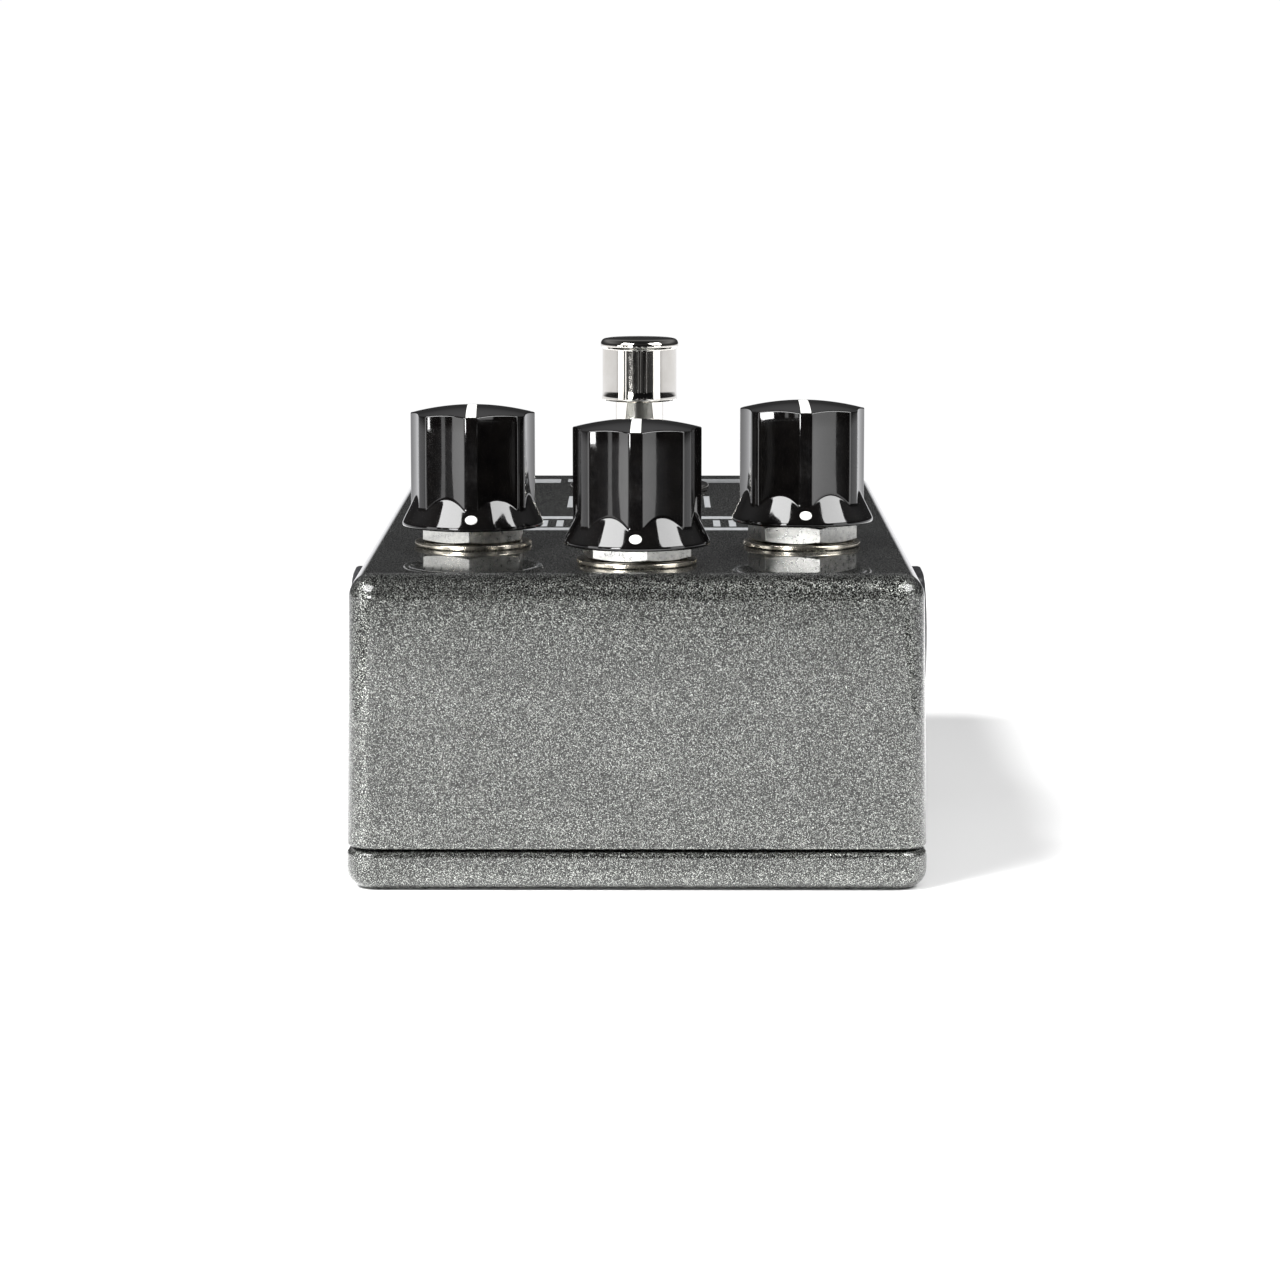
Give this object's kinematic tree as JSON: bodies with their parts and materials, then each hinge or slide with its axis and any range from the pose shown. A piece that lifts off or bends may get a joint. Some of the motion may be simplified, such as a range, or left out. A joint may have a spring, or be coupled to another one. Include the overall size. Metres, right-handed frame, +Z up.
{
  "type": "guitar effects pedal",
  "caption": "Compact stompbox in a die-cast metal box with fluted skirted knobs, a push footswitch, side audio jacks, a power socket and working parts inside.",
  "frame": {"origin": "centre of the footprint, on the surface the pedal stands on", "axes": "+Z up; +Y along the length from the knob end towards the footswitch end; +X towards the output jack"},
  "size_m": [0.0656, 0.1116, 0.0518],
  "materials": {
    "coat": "metallic flake coat under clear gloss",
    "black_screw": "black oxide",
    "knob_black": "polished black",
    "zinc": "zinc plate",
    "nickel": "polished nickel",
    "steel": "plain steel",
    "switch_base": "moulded blue",
    "black_plastic": "moulded black",
    "board": "green solder mask",
    "film": "dipped red",
    "capacitor_sleeve": "dark sleeve",
    "led_lens": "diffused red lens",
    "cell": "printed metal jacket",
    "foam": "open-cell foam",
    "ribbon": "grey flat cable",
    "red_wire": "red insulation",
    "black_wire": "black insulation"
  },
  "bodies": {
    "case": {"enclosure": "coat", "base_plate": "coat", "base_screw_1": "black_screw", "base_screw_2": "black_screw", "base_screw_3": "black_screw", "base_screw_4": "black_screw", "main_board": "board", "switch_board": "board", "preamp_chip": "black_plastic", "mixer_chip": "black_plastic", "supply_capacitor": "capacitor_sleeve", "coupling_capacitor": "capacitor_sleeve", "film_capacitor_1": "film", "film_capacitor_2": "film", "film_capacitor_3": "film", "film_capacitor_4": "film", "pot_housing_left": "steel", "pot_washer_left": "nickel", "pot_nut_left": "zinc", "pot_housing_centre": "steel", "pot_washer_centre": "nickel", "pot_nut_centre": "zinc", "pot_housing_right": "steel", "pot_washer_right": "nickel", "pot_nut_right": "zinc", "footswitch_frame": "nickel", "footswitch_base": "switch_base", "footswitch_spring": "steel", "footswitch_inner_nut": "nickel", "footswitch_washer": "nickel", "footswitch_nut": "nickel", "input_jack_housing": "black_plastic", "input_jack_nut": "black_plastic", "input_jack_tip_contact": "steel", "input_jack_sleeve_contact": "steel", "output_jack_housing": "black_plastic", "output_jack_nut": "black_plastic", "output_jack_tip_contact": "steel", "output_jack_sleeve_contact": "steel", "dc_socket_housing": "black_plastic", "dc_socket_pin": "nickel", "led_bezel": "nickel", "status_led": "led_lens", "battery": "cell", "battery_snap": "black_plastic", "battery_pad": "foam", "battery_lead_red": "red_wire", "battery_lead_black": "black_wire", "ribbon_cable": "ribbon"},
    "left_control": {"knob_left": "knob_black", "pot_shaft_left": "steel"},
    "centre_control": {"knob_centre": "knob_black", "pot_shaft_centre": "steel"},
    "right_control": {"knob_right": "knob_black", "pot_shaft_right": "steel"},
    "foot_button": {"footswitch_button": "nickel"}
  },
  "joints": [
    {"name": "left_knob_turn", "type": "hinge", "parent": "case", "child": "left_control", "pos_m": [-0.018, -0.0272, 0.04], "axis": [0, 0, 1], "range_deg": [-151, 149]},
    {"name": "centre_knob_turn", "type": "hinge", "parent": "case", "child": "centre_control", "pos_m": [0, -0.044, 0.04], "axis": [0, 0, 1], "range_deg": [-149, 151]},
    {"name": "right_knob_turn", "type": "hinge", "parent": "case", "child": "right_control", "pos_m": [0.018, -0.0272, 0.04], "axis": [0, 0, 1], "range_deg": [-151, 149]},
    {"name": "footswitch_press", "type": "slide", "parent": "case", "child": "foot_button", "axis": [0, 0, -1], "range_m": [0, 0.0035], "stiffness_N_per_m": 1500, "springref_m": -0.003, "deforming": ["footswitch_spring"]}
  ]
}
